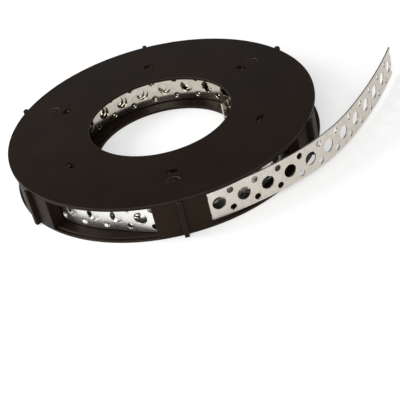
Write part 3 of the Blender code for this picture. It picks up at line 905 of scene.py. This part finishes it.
# Painted shade: near the inner cut the zinc is painted darker for the bore, and is also smoother with
# less grain.
inner_smooth_and_shade = 1.0 - zinc.ramp(along, 0.5, 1.5)
painted_bore_shade = zinc.mix(tone, (0.50, 0.46, 0.39, 1.0), (0.66, 0.62, 0.54, 1.0))
zinc_finish = zinc.feed(
    Base_Color=zinc.mix(inner_smooth_and_shade, zinc.mix(tail_share, painted_lit_zinc, plain_zinc), painted_bore_shade),
    Roughness=0.22 + 0.08 * blotch + 0.06 * rolling + 0.18 * tail_share - 0.14 * inner_smooth_and_shade,
    Normal=zinc.bump((0.6 * speckle + 0.4 * rolling) * (1.0 - 0.7 * inner_smooth_and_shade), 0.000008),
)
print("zinc nodes", len(zinc.tree.nodes))

# %% Give each piece its finish and its body, and hide the solids it replaces
for piece, finish, slot in (
    (lid, plastic_finish, "black_plastic"),
    (base, plastic_finish, "black_plastic"),
    (strap_inner, zinc_finish, "galvanised_steel"),
    (strap_middle, zinc_finish, "galvanised_steel"),
    (strap_outer, zinc_finish, "galvanised_steel"),
):
    piece.data.materials.clear()
    piece.data.materials.append(finish)
    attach(piece, "root")
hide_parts("cassette_lid")
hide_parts("cassette_base")
for piece in (strap_inner, strap_middle, strap_outer):
    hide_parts("strap")
print("pieces dressed")

# %% [markdown]
# ## Floor and light
#
# The object lies on a plain white floor under two soft lamps. The floor keeps the object's
# shadow, and a little glow in it, seen only by the camera and by shiny things, lifts the rest
# to white. As those see it, the room is white near the floor and nearly dark overhead, so that
# level plastic stays dark while upright faces turn pale.
# %% Lay the floor
def seen_directly(tree):
    """1 for rays from the camera, a reflection or glass, and 0 for the light that falls on things."""
    path = tree.nodes.new("ShaderNodeLightPath")
    total = path.outputs["Is Camera Ray"]
    for name in ("Is Glossy Ray", "Is Transmission Ray"):
        either = tree.nodes.new("ShaderNodeMath")
        either.operation = "MAXIMUM"
        tree.links.new(total, either.inputs[0])
        tree.links.new(path.outputs[name], either.inputs[1])
        total = either.outputs[0]
    return total


FLOOR_HALF = 6.0
FLOOR_SHADE = 0.62
FLOOR_GLOW = 0.45
FLOOR_DROP = 0.2 * MM
shape = bmesh.new()
bmesh.ops.create_grid(shape, x_segments=1, y_segments=1, size=FLOOR_HALF)
floor_mesh = bpy.data.meshes.new("floor")
shape.to_mesh(floor_mesh)
shape.free()
floor = add_piece("floor", floor_mesh)
floor.location.z = -FLOOR_DROP
ground = Finish("pale_floor", Roughness=1.0, Specular_IOR_Level=0.0)
ground.shader.inputs["Base Color"].default_value = (FLOOR_SHADE, FLOOR_SHADE, FLOOR_SHADE, 1.0)
ground.shader.inputs["Emission Color"].default_value = (1.0, 1.0, 1.0, 1.0)
glow = ground.node("ShaderNodeMath", {"operation": "MULTIPLY"}, {1: FLOOR_GLOW})
ground.tree.links.new(seen_directly(ground.tree), glow.socket.node.inputs[0])
ground.tree.links.new(glow.socket, ground.shader.inputs["Emission Strength"])
floor.data.materials.append(ground.material)

# %% Light the room
LEVEL_STRENGTH = 1.0
OVERHEAD_STRENGTH = 0.03
FALLING_LIGHT = 0.45
world = bpy.data.worlds.new("studio")
bpy.context.scene.world = world
world.use_nodes = True
sky = world.node_tree
backdrop = sky.nodes["Background"]
direction = sky.nodes.new("ShaderNodeTexCoord")
parts = sky.nodes.new("ShaderNodeSeparateXYZ")
sky.links.new(direction.outputs["Generated"], parts.inputs[0])
overhead = sky.nodes.new("ShaderNodeMapRange")
overhead.interpolation_type = "SMOOTHSTEP"
overhead.inputs["From Min"].default_value = 0.10
overhead.inputs["From Max"].default_value = 0.50
overhead.inputs["To Min"].default_value = LEVEL_STRENGTH
overhead.inputs["To Max"].default_value = OVERHEAD_STRENGTH
sky.links.new(parts.outputs["Z"], overhead.inputs["Value"])
level_light = sky.nodes.new("ShaderNodeMix")
level_light.data_type = "FLOAT"
level_light.inputs[2].default_value = FALLING_LIGHT
sky.links.new(seen_directly(sky), level_light.inputs[0])
sky.links.new(overhead.outputs[0], level_light.inputs[3])
sky.links.new(level_light.outputs[0], backdrop.inputs["Strength"])
backdrop.inputs["Color"].default_value = (1.0, 1.0, 1.0, 1.0)


def soft_lamp(name, place, size, power):
    """A square lamp that faces the cassette."""
    light = bpy.data.lights.new(name, "AREA")
    light.shape = "SQUARE"
    light.size = size
    light.energy = power
    lamp = bpy.data.objects.new(name, light)
    bpy.context.scene.collection.objects.link(lamp)
    lamp.location = place
    aim = Vector((AXIS_X, 0.0, 0.01)) - Vector(place)
    lamp.rotation_euler = aim.to_track_quat("-Z", "Y").to_euler()
    return lamp


soft_lamp("front_lamp", (-0.29, -1.52, 1.06), 1.17, 20.6)
soft_lamp("left_lamp", (-0.59, 0.06, 0.42), 0.35, 3.0)
view = bpy.context.scene.view_settings
view.view_transform = "Standard"
